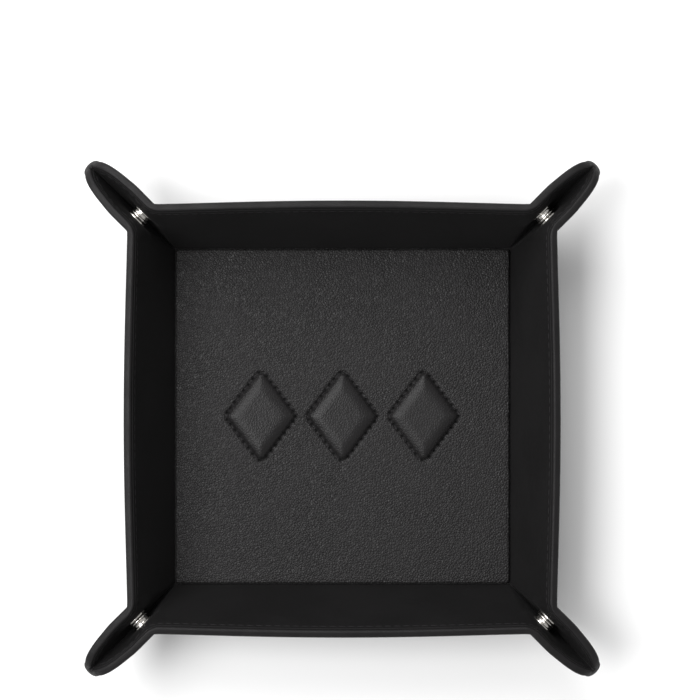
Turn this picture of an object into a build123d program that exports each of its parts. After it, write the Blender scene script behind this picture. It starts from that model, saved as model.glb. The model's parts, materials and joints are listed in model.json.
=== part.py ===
from build123d import *
import os
from math import acos, asin, atan2, cos, degrees, hypot, radians, sin, sqrt, tan

# Square leather valet tray. One square sheet is creased into a floor and four walls, and each
# corner is pinched by a press snap, so that its leather stands out as an ear of two halves.
# Millimetres, +Z up, origin under the middle of the floor, front towards -Y.
# The tray is modelled snapped up. Each wall hinges on the floor along a crease, and each ear
# half hinges on its wall along a pinch crease. Opened out, all of it lies flat.
os.makedirs("parts", exist_ok=True)

# Driving dimensions of the sheet and of its folds
floor_width = 167.5
wall_slant = 50.0
wall_angle = 72.0
pinch_angle = 11.5
sheet_corner_radius = 12.0
ear_fold_radius = 0.8

# Thicknesses, from the outer face inwards
outer_leather = 1.4
board = 1.2
lining_leather = 1.4

# Turned rim along the free edges
rim_width = 2.0
rim_rounding = 1.2

# Running clearances at creases, and between layers
crease_gap = 0.1
layer_fit = 0.05
board_margin = 2.0

# Floor panel and what it covers
panel_clearance = 0.3
panel_height = 2.2
panel_leather = 1.2
panel_corner_radius = 4.0
panel_rounding = 0.7
padding_margin = 6.0

# Raised motif, a row of lozenges
lozenge_count = 3
lozenge_width = 36.0
lozenge_length = 47.5
lozenge_spacing = 40.5
lozenge_corner_radius = 3.0
lozenge_height = 1.5
lozenge_rounding = 1.3

# Fold leather of an ear, along the fold from the floor corner
fold_start = 3.0

# Press snap, measured from its own axis; its place is measured on the flat sheet
snap_from_corner = 38.3
snap_from_fold = 15.0
disc_radius = 5.4
flange_thickness = 0.9
stud_base_thickness = 1.0
rivet_depth = 0.5
cap_radius = 5.8
cap_height = 1.5
cap_rounding = 1.0
post_radius = 5.2
post_height = 1.1
post_rounding = 0.7
shank_radius = 1.9
waist_radius = 4.5
mouth_radius = 5.1
mouth_thickness = 1.4
mouth_rounding = 0.5
cavity_radius = 2.7
stud_neck_radius = 1.6
stud_head_radius = 2.0
stud_head_height = 1.1
stud_head_rounding = 0.5
stud_length = 2.1
snap_air = 0.3
seat_fit = 0.15

# One overrun serves every cut
overrun = 5.0

# Worked out from the driving dimensions
sheet = outer_leather + board + lining_leather
half_floor = floor_width / 2
tilt = radians(pinch_angle)
rise = radians(wall_angle)
ear_width_angle = radians(45 - pinch_angle)
UP = Vector(0, 0, 1)
SIDES = ["front", "right", "back", "left"]


def turned(plane, axis, angle):
    """The plane after it turns about an axis by an angle in degrees."""
    origin = axis.position + (plane.origin - axis.position).rotate(axis, angle)
    return Plane(origin, plane.x_dir.rotate(axis, angle), plane.z_dir.rotate(axis, angle))


def crease_reach():
    """How far an ear's fold reaches from the floor corner: (its climb, the leaf's lean)."""
    out = (sin(tilt) + cos(tilt) * cos(rise)) / sqrt(2)
    up = cos(tilt) * sin(rise)
    climb = atan2(up, out) - acos(cos(ear_width_angle) / hypot(out, up))
    aside = (cos(tilt) * cos(rise) - sin(tilt)) / sqrt(2)
    return climb, asin(aside / sin(ear_width_angle))


fold_climb, leaf_lean = crease_reach()
fold_strip = ear_fold_radius * (radians(90) - leaf_lean)


class Side:
    """The planes and axes of one side of the tray, with the ear at its right hand.

    Right is as seen by someone in the tray who looks at the wall. A wall's plane lies on its
    inner face, X along the floor crease towards that ear, Y up the wall, Z into the tray.
    """

    def __init__(self, number):
        turn = number * 90
        along = Vector(-1, 0, 0).rotate(Axis.Z, turn)
        outwards = Vector(0, -1, 0).rotate(Axis.Z, turn)
        flat = Plane(outwards * half_floor + UP * sheet, along, UP)
        self.name = SIDES[number]
        self.right = SIDES[number - 1]
        self.left = SIDES[(number + 1) % len(SIDES)]
        self.along = along
        self.outwards = outwards
        self.middle = Plane((0, 0, 0), outwards, along)
        self.crease = Axis(flat.origin, along)
        self.wall = turned(flat, self.crease, wall_angle)
        self.aside = (outwards - along) * (1 / sqrt(2))
        self.corner = flat.origin + along * half_floor
        self.pinch_start, self.ear_angle = self.pinch_place()
        start = self.wall.from_local_coords((half_floor - self.pinch_start, 0, 0))
        self.pinch = Axis(start, self.on_wall(sin(tilt), cos(tilt)))
        self.ear = turned(self.wall, self.pinch, self.ear_angle)

    def on_wall(self, x, y):
        """A direction drawn on the wall."""
        return self.wall.x_dir * x + self.wall.y_dir * y

    def pinch_place(self):
        """(distance of the pinch crease from the floor corner, the ear's fold in degrees)."""
        pinch = Axis((0, 0, 0), self.on_wall(sin(tilt), cos(tilt)))
        diagonal = self.on_wall(sin(radians(45)), cos(radians(45)))
        level = (self.along + self.outwards) * (cos(fold_climb) / sqrt(2))
        fold = level + UP * sin(fold_climb)
        before = diagonal - pinch.direction * diagonal.dot(pinch.direction)
        after = fold - pinch.direction * fold.dot(pinch.direction)
        angle = before.get_signed_angle(after, pinch.direction)
        drawn = self.wall.x_dir.rotate(pinch, angle)
        wanted = ear_fold_radius * cos(leaf_lean) - fold_strip * sin(leaf_lean)
        return wanted / (1 / sqrt(2) + drawn.dot(self.aside)), angle

    def mitre(self, towards_ear):
        """The plane that cuts the wall or the ear at their pinch crease, facing what is kept."""
        bisector = (self.wall.z_dir + self.ear.z_dir) * -1
        across = self.pinch.direction.cross(bisector).normalized()
        if (across.dot(self.wall.x_dir) > 0) != towards_ear:
            across = across * -1
        return Plane(self.pinch.position + across * crease_gap, self.pinch.direction, across)

    def at_left(self, plane):
        """The mirror image of a plane, at the wall's left hand."""
        origin, x_dir, z_dir = (
            vector - self.along * (2 * vector.dot(self.along))
            for vector in (plane.origin, plane.x_dir, plane.z_dir)
        )
        return Plane(origin, x_dir, z_dir)

    def fold_plane(self, reach):
        """The plane across the ear's fold, at a reach along it from the floor corner.

        Its origin is the centre of the bend, X points aside to this wall's half.
        """
        strip = Vector(-fold_strip, fold_strip) * (1 / sqrt(2))
        place = Vector(half_floor, 0) + Vector(reach, reach) * (1 / sqrt(2)) + strip
        centre = self.ear.from_local_coords((place.X, place.Y, ear_fold_radius))
        level = (self.along + self.outwards) * (cos(fold_climb) / sqrt(2))
        return Plane(centre, self.aside, level + UP * sin(fold_climb))

    def snap_seat(self):
        """The plane of the snap's seat on the ear's inner face, Z towards the outer face."""
        along = sqrt(snap_from_corner**2 - snap_from_fold**2)
        x = half_floor + (along - snap_from_fold) / sqrt(2)
        y = (along + snap_from_fold) / sqrt(2)
        level = (self.along + self.outwards) * (1 / sqrt(2))
        return Plane(self.ear.from_local_coords((x, y, 0)), level, self.aside)


sides = [Side(number) for number in range(len(SIDES))]
corner_gap = half_floor - sides[0].pinch_start
leaf_thickness = sheet / cos(leaf_lean)
half_gap_at_snap = abs((sides[0].snap_seat().origin - sides[0].corner).dot(sides[0].aside))


def wall_outline(top, bottom=crease_gap, margin=0.0):
    """Sketches the wall's trapezoid on its plane, less a margin at the pinch creases."""
    low = corner_gap + bottom * tan(tilt) - margin / cos(tilt)
    high = corner_gap + top * tan(tilt) - margin / cos(tilt)
    with BuildLine() as outline:
        Polyline((-low, bottom), (low, bottom), (high, top), (-high, top), close=True)
    make_face(outline.edges())


def ear_outline(inset=0.0):
    """Sketches an ear half on its plane: pinch crease, rim, rounded tip and fold."""
    strip = fold_strip + crease_gap
    foot_y = (strip * sqrt(2) - sides[0].pinch_start) / (1 - tan(tilt))
    foot = (corner_gap + foot_y * tan(tilt), foot_y)
    top = wall_slant - inset
    centre = Vector(half_floor + wall_slant - sheet_corner_radius, wall_slant - sheet_corner_radius)
    radius = sheet_corner_radius - inset
    end = 45 + degrees(asin(strip / radius))
    with BuildLine() as outline:
        start = Line(foot, (corner_gap + top * tan(tilt), top))
        rim = Line(start @ 1, (centre.X, top))
        tip = CenterArc((centre.X, centre.Y), radius, 90, end - 90)
        Line(tip @ 1, start @ 0)
    make_face(outline.edges())


def rim_edges(part, plane):
    """The long edges of a leather's free rim, on both of its faces."""
    free = wall_slant - sheet_corner_radius / 2
    return part.edges().filter_by(
        lambda edge: plane.to_local_coords(edge.center()).Y > free and edge.length > sheet
    )


def save(part, name):
    """Labels a finished piece and writes it as its own file."""
    part.label = name
    export_step(part, f"parts/{name}.step")


# Base: outer leather, board and lining, laid flat
base_half = half_floor - crease_gap

with BuildPart() as base_leather:
    with BuildSketch(Plane.XY):
        Rectangle(2 * base_half, 2 * base_half)
    extrude(amount=outer_leather)
save(base_leather.part, "base_leather")

with BuildPart() as base_board:
    with BuildSketch(Plane.XY.offset(outer_leather)):
        Rectangle(2 * (base_half - board_margin), 2 * (base_half - board_margin))
    extrude(amount=board)
save(base_board.part, "base_board")

with BuildPart() as base_lining:
    with BuildSketch(Plane.XY.offset(outer_leather)):
        Rectangle(2 * base_half, 2 * base_half)
    extrude(amount=board + lining_leather)
    with BuildSketch(Plane.XY.offset(outer_leather)):
        Rectangle(2 * (base_half - board_margin), 2 * (base_half - board_margin))
    extrude(amount=board, mode=Mode.SUBTRACT)
save(base_lining.part, "base_lining")

# Floor panel: padding under grained leather, and the raised motif on it
panel_half = half_floor - panel_clearance
padding_half = panel_half - padding_margin
padding_height = panel_height - panel_leather

with BuildPart() as panel_padding:
    with BuildSketch(Plane.XY.offset(sheet)):
        RectangleRounded(2 * padding_half, 2 * padding_half, panel_corner_radius)
    extrude(amount=padding_height)
save(panel_padding.part, "panel_padding")

with BuildPart() as floor_panel:
    with BuildSketch(Plane.XY.offset(sheet)):
        RectangleRounded(2 * panel_half, 2 * panel_half, panel_corner_radius)
    extrude(amount=panel_height)
    fillet(floor_panel.faces().sort_by(Axis.Z)[-1].edges(), radius=panel_rounding)
    with BuildSketch(Plane.XY.offset(sheet)):
        RectangleRounded(2 * padding_half, 2 * padding_half, panel_corner_radius)
    extrude(amount=padding_height, mode=Mode.SUBTRACT)
save(floor_panel.part, "floor_panel")

with BuildPart() as raised_motif:
    with BuildSketch(Plane.XY.offset(sheet + panel_height)) as lozenges:
        with GridLocations(lozenge_spacing, 0, lozenge_count, 1):
            Polygon(
                (lozenge_width / 2, 0),
                (0, lozenge_length / 2),
                (-lozenge_width / 2, 0),
                (0, -lozenge_length / 2),
            )
        fillet(lozenges.vertices(), radius=lozenge_corner_radius)
    extrude(amount=lozenge_height)
    fillet(raised_motif.faces().group_by(Axis.Z)[-1].edges(), radius=lozenge_rounding)
save(raised_motif.part, "raised_motif")


def cut_at_pinches(side):
    """Mitres the wall piece being built at both of its pinch creases."""
    split(bisect_by=side.mitre(towards_ear=False), keep=Keep.TOP)
    split(bisect_by=side.at_left(side.mitre(towards_ear=False)), keep=Keep.TOP)


def make_wall(side):
    """One wall: its crease leather, outer leather with the rim, board and lining."""
    lining_top = wall_slant - rim_width
    board_top = lining_top - board_margin
    underneath = -90
    with BuildPart() as crease:
        with BuildSketch(Plane(side.crease.position, side.outwards, side.along)):
            with BuildLine():
                outer = CenterArc((0, 0), sheet, underneath, wall_angle)
                inner = CenterArc((0, 0), lining_leather, underneath, wall_angle)
                Line(outer @ 0, inner @ 0)
                Line(outer @ 1, inner @ 1)
            make_face()
        extrude(amount=corner_gap - crease_gap, both=True)
    save(crease.part, f"{side.name}_crease_leather")

    with BuildPart() as leather:
        with BuildSketch(side.wall):
            wall_outline(wall_slant)
        extrude(amount=-sheet)
        fillet(rim_edges(leather.part, side.wall), radius=rim_rounding)
        with BuildSketch(side.wall):
            wall_outline(lining_top)
        extrude(amount=-(lining_leather + board), mode=Mode.SUBTRACT)
        cut_at_pinches(side)
    save(leather.part, f"{side.name}_wall_leather")

    with BuildPart() as stiffener:
        with BuildSketch(side.wall.offset(-lining_leather)):
            wall_outline(board_top, bottom=board_margin, margin=board_margin)
        extrude(amount=-board)
    save(stiffener.part, f"{side.name}_wall_board")

    with BuildPart() as lining:
        with BuildSketch(side.wall):
            wall_outline(lining_top - layer_fit)
        extrude(amount=-(lining_leather + board))
        with BuildSketch(side.wall.offset(-lining_leather)):
            wall_outline(board_top, bottom=board_margin, margin=board_margin)
        extrude(amount=-board, mode=Mode.SUBTRACT)
        cut_at_pinches(side)
    save(lining.part, f"{side.name}_wall_lining")


def cut_for_snap(side, outer_radius):
    """Presses the snap's seats into the ear piece being built, and pierces it."""
    seat = side.snap_seat()
    with BuildSketch(seat) as inner_seat:
        Circle(disc_radius + seat_fit)
    extrude(inner_seat.sketch, amount=-overrun, mode=Mode.SUBTRACT)
    with BuildSketch(seat.offset(leaf_thickness)) as outer_seat:
        Circle(outer_radius + seat_fit)
    extrude(outer_seat.sketch, amount=overrun, mode=Mode.SUBTRACT)
    with BuildSketch(seat) as hole:
        Circle(shank_radius + layer_fit)
    extrude(hole.sketch, amount=overrun + sheet, both=True, mode=Mode.SUBTRACT)


def make_ear(side, at_right):
    """One half of an ear: outer leather with the rim, and lining, both pierced for the snap.

    Every half is made at the wall's right hand. Front and back walls carry the cap.
    """
    name = f"{side.name}_wall_{side.right if at_right else side.left}_ear"
    outer_radius = cap_radius if side.name in ("front", "back") else post_radius
    with BuildPart() as leather:
        with BuildSketch(side.ear):
            ear_outline()
        extrude(amount=-sheet)
        fillet(rim_edges(leather.part, side.ear), radius=rim_rounding)
        with BuildSketch(side.ear):
            ear_outline(inset=rim_width)
        extrude(amount=-lining_leather, mode=Mode.SUBTRACT)
        split(bisect_by=side.mitre(towards_ear=True), keep=Keep.TOP)
        cut_for_snap(side, outer_radius)
        if not at_right:
            mirror(about=side.middle, mode=Mode.REPLACE)
    save(leather.part, f"{name}_leather")

    with BuildPart() as lining:
        with BuildSketch(side.ear):
            ear_outline(inset=rim_width + layer_fit)
        extrude(amount=-lining_leather)
        split(bisect_by=side.mitre(towards_ear=True), keep=Keep.TOP)
        cut_for_snap(side, outer_radius)
        if not at_right:
            mirror(about=side.middle, mode=Mode.REPLACE)
    save(lining.part, f"{name}_lining")


def outer_disc(side, radius, height, rounding, at_right):
    """A snap's outer disc with the shank that goes through the ear."""
    seat = side.snap_seat()
    with BuildPart() as disc:
        with BuildSketch(seat.offset(leaf_thickness)):
            Circle(radius)
        extrude(amount=height)
        fillet(disc.faces().sort_by(Axis(seat.origin, seat.z_dir))[-1].edges(), radius=rounding)
        with BuildSketch(seat.offset(leaf_thickness)):
            Circle(shank_radius)
        extrude(amount=-(leaf_thickness + rivet_depth))
        if not at_right:
            mirror(about=side.middle, mode=Mode.REPLACE)
    return disc.part


def make_cap_and_socket(side, at_right):
    """The half of a snap on a front or back wall's ear: a cap outside, a socket inside."""
    corner = f"{side.name}_{side.right if at_right else side.left}"
    save(outer_disc(side, cap_radius, cap_height, cap_rounding, at_right), f"{corner}_snap_cap")

    seat = side.snap_seat()
    waist = 2 * half_gap_at_snap - flange_thickness - mouth_thickness - snap_air - stud_base_thickness
    with BuildPart() as socket:
        with BuildSketch(seat):
            Circle(disc_radius)
        extrude(amount=-flange_thickness)
        with BuildSketch(seat.offset(-flange_thickness)):
            Circle(waist_radius)
        extrude(amount=-(waist + mouth_thickness))
        with BuildSketch(seat.offset(-(flange_thickness + waist))):
            Circle(mouth_radius)
        extrude(amount=-mouth_thickness)
        front = socket.faces().sort_by(Axis(seat.origin, seat.z_dir))[0]
        fillet(front.edges(), radius=mouth_rounding)
        with BuildSketch(seat.offset(-flange_thickness)):
            Circle(cavity_radius)
        extrude(amount=-overrun, mode=Mode.SUBTRACT)
        with BuildSketch(seat):
            Circle(shank_radius + layer_fit)
        extrude(amount=-rivet_depth, mode=Mode.SUBTRACT)
        if not at_right:
            mirror(about=side.middle, mode=Mode.REPLACE)
    save(socket.part, f"{corner}_snap_socket")


def make_post_and_stud(side, at_right):
    """The half of a snap on a side wall's ear: a post outside, a stud inside."""
    corner = f"{side.right if at_right else side.left}_{side.name}"
    save(outer_disc(side, post_radius, post_height, post_rounding, at_right), f"{corner}_snap_post")

    seat = side.snap_seat()
    with BuildPart() as stud:
        with BuildSketch(seat):
            Circle(disc_radius)
        extrude(amount=-stud_base_thickness)
        with BuildSketch(seat.offset(-stud_base_thickness)):
            Circle(stud_neck_radius)
        extrude(amount=-stud_length)
        with BuildSketch(seat.offset(-(stud_base_thickness + stud_length))):
            Circle(stud_head_radius)
        extrude(amount=stud_head_height)
        tip = stud.faces().sort_by(Axis(seat.origin, seat.z_dir))[0]
        fillet(tip.edges(), radius=stud_head_rounding)
        with BuildSketch(seat):
            Circle(shank_radius + layer_fit)
        extrude(amount=-rivet_depth, mode=Mode.SUBTRACT)
        if not at_right:
            mirror(about=side.middle, mode=Mode.REPLACE)
    save(stud.part, f"{corner}_snap_stud")


def make_ear_fold(side, at_right):
    """The folded leather along an ear's keel, which bends round between its two halves."""
    corner = f"{side.name}_{side.right if at_right else side.left}"
    tip = (wall_slant - sheet_corner_radius) * sqrt(2) + sheet_corner_radius
    lean = degrees(leaf_lean)
    with BuildPart() as fold:
        with BuildSketch(side.fold_plane(fold_start)):
            with BuildLine():
                outer = CenterArc((0, 0), ear_fold_radius + sheet, lean - 180, 180 - 2 * lean)
                inner = CenterArc((0, 0), ear_fold_radius, lean - 180, 180 - 2 * lean)
                Line(outer @ 0, inner @ 0)
                Line(outer @ 1, inner @ 1)
            make_face()
        extrude(amount=tip - fold_start)
        rim = fold.edges().filter_by(GeomType.CIRCLE).sort_by(SortBy.RADIUS)[-2:]
        fillet(rim.sort_by(Axis.Z)[-1], radius=rim_rounding)
        if not at_right:
            mirror(about=side.middle, mode=Mode.REPLACE)
    save(fold.part, f"{corner}_ear_fold_leather")


for side in sides:
    make_wall(side)
    for at_right in (True, False):
        make_ear(side, at_right)
        if side.name in ("front", "back"):
            make_cap_and_socket(side, at_right)
            make_ear_fold(side, at_right)
        else:
            make_post_and_stud(side, at_right)
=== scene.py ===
"""The looks of a snap-corner leather valet tray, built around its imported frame.

Each leather is laid out flat, as it is cut from the sheet, and then folded into its place: up at
the floor crease, round at the pinch crease and over at the ear's keel. Sizes are in millimetres
and angles in radians, until a point is put in its place in metres.
"""

import json
import logging
from dataclasses import dataclass
from enum import Enum
from functools import cached_property
from math import acos, asin, atan2, ceil, copysign, cos, exp, hypot, pi, radians, sin, sqrt, tan
from typing import Any, Callable, Sequence

import bmesh
import bpy
from mathutils import Matrix, Vector, kdtree, noise


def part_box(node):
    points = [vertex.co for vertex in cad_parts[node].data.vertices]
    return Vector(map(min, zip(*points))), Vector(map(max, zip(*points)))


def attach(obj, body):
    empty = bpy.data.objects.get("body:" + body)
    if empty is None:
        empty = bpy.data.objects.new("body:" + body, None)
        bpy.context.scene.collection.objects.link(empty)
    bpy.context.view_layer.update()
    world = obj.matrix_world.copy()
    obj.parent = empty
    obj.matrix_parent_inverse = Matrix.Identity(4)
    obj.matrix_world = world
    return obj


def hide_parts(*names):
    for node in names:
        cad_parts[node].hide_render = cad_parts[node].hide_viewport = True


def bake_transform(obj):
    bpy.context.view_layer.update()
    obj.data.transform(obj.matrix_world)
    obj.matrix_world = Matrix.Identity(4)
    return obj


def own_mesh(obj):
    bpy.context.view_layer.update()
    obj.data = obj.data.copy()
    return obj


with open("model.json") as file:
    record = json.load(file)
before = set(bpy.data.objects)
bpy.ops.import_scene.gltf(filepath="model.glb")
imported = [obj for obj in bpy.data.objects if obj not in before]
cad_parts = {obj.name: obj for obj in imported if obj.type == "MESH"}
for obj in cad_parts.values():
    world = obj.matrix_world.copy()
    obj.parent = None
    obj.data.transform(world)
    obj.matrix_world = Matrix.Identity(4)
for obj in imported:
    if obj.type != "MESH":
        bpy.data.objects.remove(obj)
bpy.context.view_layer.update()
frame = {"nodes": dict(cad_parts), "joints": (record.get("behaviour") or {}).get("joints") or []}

MM = 0.001
UP = Vector((0, 0, 1))
ACROSS_FOLD = Vector((1, -1, 0)).normalized()
MERGE = 2e-7
SHARP_EDGE = radians(40)
STITCH_SEGMENTS, STITCH_RINGS = 8, 6

log = logging.getLogger("valet_tray")


class Hand(Enum):
    """The end of a wall where an ear stands, as seen by someone in the tray who faces it."""

    RIGHT = 1
    LEFT = -1


class Slot(Enum):
    """The record's material slots."""

    OUTER = "outer_leather"
    LINING = "lining_leather"
    GRAINED = "grained_leather"
    BOARD = "stiffener_board"
    FOAM = "padding_foam"
    METAL = "snap_metal"


def smooth(share: float) -> float:
    """A share from 0 to 1 with its ends eased."""
    share = min(max(share, 0.0), 1.0)
    return share * share * (3 - 2 * share)


def joint(name: str) -> dict[str, Any]:
    """The frame's joint of that name."""
    return next(item for item in frame["joints"] if item["name"] == name)


class NodeTree:
    """Adds nodes to a material or a group in few words."""

    MIX_FIRST, MIX_SECOND, MIX_RESULT = 6, 7, 2

    def __init__(self, tree: bpy.types.NodeTree) -> None:
        """Keeps the node tree that the nodes go into."""
        self.tree = tree

    def link(self, output: bpy.types.NodeSocket, socket: bpy.types.NodeSocket) -> None:
        """Links an output to an input."""
        self.tree.links.new(output, socket)

    def add(self, kind: str, inputs: dict[Any, Any] | None = None, **settings: Any) -> bpy.types.Node:
        """Adds one node.

        Args:
            kind: the node's type, without the words ShaderNode.
            inputs: a value or another node's output for each input, by name or number.
            settings: the node's own properties.

        Returns:
            The new node.
        """
        node = self.tree.nodes.new("ShaderNode" + kind)
        for key, value in settings.items():
            setattr(node, key, value)
        for key, value in (inputs or {}).items():
            if isinstance(value, bpy.types.NodeSocket):
                self.link(value, node.inputs[key])
            else:
                node.inputs[key].default_value = value
        return node

    def math(self, operation: str, first: Any, second: Any = 0.0) -> bpy.types.NodeSocket:
        """The output of a Math node."""
        return self.add("Math", {0: first, 1: second}, operation=operation).outputs[0]

    def noise(self, place: Any, per_metre: Any, detail: float) -> bpy.types.Node:
        """A noise texture, with so many features to the metre."""
        return self.add("TexNoise", {"Vector": place, "Scale": per_metre, "Detail": detail})

    def ramp(self, value: Any, low: float, high: float, start: float = 0.0, end: float = 1.0) -> Any:
        """Maps a value smoothly.

        Args:
            value: the value or its output.
            low: the value that is mapped to the start.
            high: the value that is mapped to the end.
            start: what the low value becomes.
            end: what the high value becomes.

        Returns:
            The mapped value's output.
        """
        inputs = {"Value": value, "From Min": low, "From Max": high, "To Min": start, "To Max": end}
        return self.add("MapRange", inputs, interpolation_type="SMOOTHSTEP").outputs[0]

    def tint(self, factor: Any, first: Any, second: Any) -> bpy.types.NodeSocket:
        """A colour between two others."""
        inputs = {0: factor, self.MIX_FIRST: first, self.MIX_SECOND: second}
        return self.add("Mix", inputs, data_type="RGBA").outputs[self.MIX_RESULT]

    def mark(self, name: str) -> bpy.types.NodeSocket:
        """The value of one of the mesh's own attributes."""
        return self.add("Attribute", attribute_name=name).outputs["Fac"]

    def surface(
        self, shader: bpy.types.Node, color: Any, rough: Any, height: Any, distance: float, strength: float
    ) -> None:
        """Links a finish's colour, roughness and relief to its shader.

        Args:
            shader: the material's Principled BSDF.
            color: the colour's output.
            rough: the roughness's output.
            height: the relief's output.
            distance: how high the relief stands, in metres.
            strength: how strongly it is seen.
        """
        bump = self.add("Bump", {"Height": height, "Distance": distance, "Strength": strength})
        self.link(color, shader.inputs["Base Color"])
        self.link(rough, shader.inputs["Roughness"])
        self.link(bump.outputs["Normal"], shader.inputs["Normal"])


def new_group(
    name: str, inputs: dict[str, str], outputs: dict[str, str]
) -> tuple[bpy.types.NodeTree, NodeTree, bpy.types.Node, bpy.types.Node]:
    """Starts a shader node group.

    Args:
        name: what the group is called.
        inputs: the socket type of each input, by name.
        outputs: the socket type of each output, by name.

    Returns:
        The group, its tree, and its input and output nodes.
    """
    group = bpy.data.node_groups.new(name, "ShaderNodeTree")
    for way, sockets in (("INPUT", inputs), ("OUTPUT", outputs)):
        for title, kind in sockets.items():
            group.interface.new_socket(title, in_out=way, socket_type="NodeSocket" + kind)
    source = group.nodes.new("NodeGroupInput")
    sink = group.nodes.new("NodeGroupOutput")
    return group, NodeTree(group), source, sink


class SurfaceGroups:
    """The effects that several finishes share, each a node group that is built once."""

    SWAY_NOISE, SWAY, MIDDLE = (260.0, 2.0), 0.0012, (0.5, 0.5, 0.5)
    SMOOTHNESS = 0.6
    PEBBLE_EDGE, CREASE_EDGE = 0.28, 0.16
    DOME_RIM, DOME_TOP = 0.75, 0.1
    PEBBLE_SHARE, DOME_SHARE, FINE_SHARE = 0.55, 0.3, 0.3
    FINE_SCALE, FINE_DETAIL = 3.1, 3.0
    MOTTLE_NOISE, MOTTLE_BAND = (38.0, 4.0), (0.3, 0.7)
    WEAR_NOISE, WEAR_BAND, WEAR_LEAST = (120.0, 5.0), (0.35, 0.7), 0.35

    @cached_property
    def grain(self) -> bpy.types.NodeTree:
        """Leather's pebbles: a height, and a mask of the creases between them, where shade is painted.

        Returns:
            The node group.
        """
        group, tree, source, sink = new_group(
            "leather_grain",
            {"Position": "Vector", "Pebbles per Metre": "Float", "Softness": "Float"},
            {"Height": "Float", "Creases": "Float", "Mottle": "Float"},
        )
        place, count = source.outputs["Position"], source.outputs["Pebbles per Metre"]
        bent = tree.noise(place, *self.SWAY_NOISE).outputs["Color"]
        sway = tree.add("VectorMath", {0: bent, 1: self.MIDDLE}, operation="SUBTRACT")
        sway = tree.add("VectorMath", {0: sway.outputs[0], "Scale": self.SWAY}, operation="SCALE")
        place = tree.add("VectorMath", {0: place, 1: sway.outputs[0]}, operation="ADD").outputs[0]
        cells = tree.add("TexVoronoi", {"Vector": place, "Scale": count}, feature="DISTANCE_TO_EDGE")
        inputs = {"Vector": place, "Scale": count, "Smoothness": self.SMOOTHNESS}
        domes = tree.add("TexVoronoi", inputs, feature="SMOOTH_F1")
        fine = tree.noise(place, tree.math("MULTIPLY", count, self.FINE_SCALE), self.FINE_DETAIL)
        pebble = tree.ramp(cells.outputs["Distance"], 0.0, self.PEBBLE_EDGE)
        dome = tree.ramp(domes.outputs["Distance"], self.DOME_RIM, self.DOME_TOP)
        height = tree.math("MULTIPLY", pebble, self.PEBBLE_SHARE)
        height = tree.math("ADD", height, tree.math("MULTIPLY", dome, self.DOME_SHARE))
        height = tree.math("ADD", height, tree.math("MULTIPLY", fine.outputs["Fac"], self.FINE_SHARE))
        softened = tree.math("MULTIPLY", height, tree.math("SUBTRACT", 1.0, source.outputs["Softness"]))
        wide = tree.noise(source.outputs["Position"], *self.MOTTLE_NOISE)
        creases = tree.ramp(cells.outputs["Distance"], self.CREASE_EDGE, 0.0)
        mottle = tree.ramp(wide.outputs["Fac"], *self.MOTTLE_BAND)
        for title, value in (("Height", softened), ("Creases", creases), ("Mottle", mottle)):
            tree.link(value, sink.inputs[title])
        return group

    @cached_property
    def edge_wear(self) -> bpy.types.NodeTree:
        """Where handling has polished a rim: a mask that is broken up along the edge.

        Returns:
            The node group.
        """
        group, tree, source, sink = new_group(
            "edge_wear", {"Position": "Vector", "Rim": "Float", "Amount": "Float"}, {"Mask": "Float"}
        )
        patches = tree.noise(source.outputs["Position"], *self.WEAR_NOISE)
        broken = tree.ramp(patches.outputs["Fac"], *self.WEAR_BAND, self.WEAR_LEAST, 1.0)
        mask = tree.math("MULTIPLY", source.outputs["Rim"], broken)
        mask = tree.math("MULTIPLY", mask, source.outputs["Amount"])
        tree.link(mask, sink.inputs["Mask"])
        return group


GROUPS = SurfaceGroups()


@dataclass(frozen=True)
class Finish:
    """A surface finish, which makes its material once."""

    name: str
    slot: Slot
    color: tuple[float, float, float]
    roughness: float

    def material(self) -> bpy.types.Material:
        """The finish's material, made the first time that it is asked for.

        Returns:
            The material.
        """
        found = bpy.data.materials.get(self.name)
        if found is None:
            found = bpy.data.materials.new(self.name)
            found.use_nodes = True
            self.dress(NodeTree(found.node_tree), found.node_tree.nodes["Principled BSDF"])
        return found

    def dress(self, tree: NodeTree, shader: bpy.types.Node) -> None:
        """Adds the finish's nodes to its material.

        Args:
            tree: the material's node tree.
            shader: its Principled BSDF.
        """
        raise NotImplementedError

    def shade(self, share: float) -> tuple[float, float, float, float]:
        """The finish's colour, lighter or darker by a share."""
        return tuple(min(channel * share, 1.0) for channel in self.color) + (1.0,)


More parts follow.
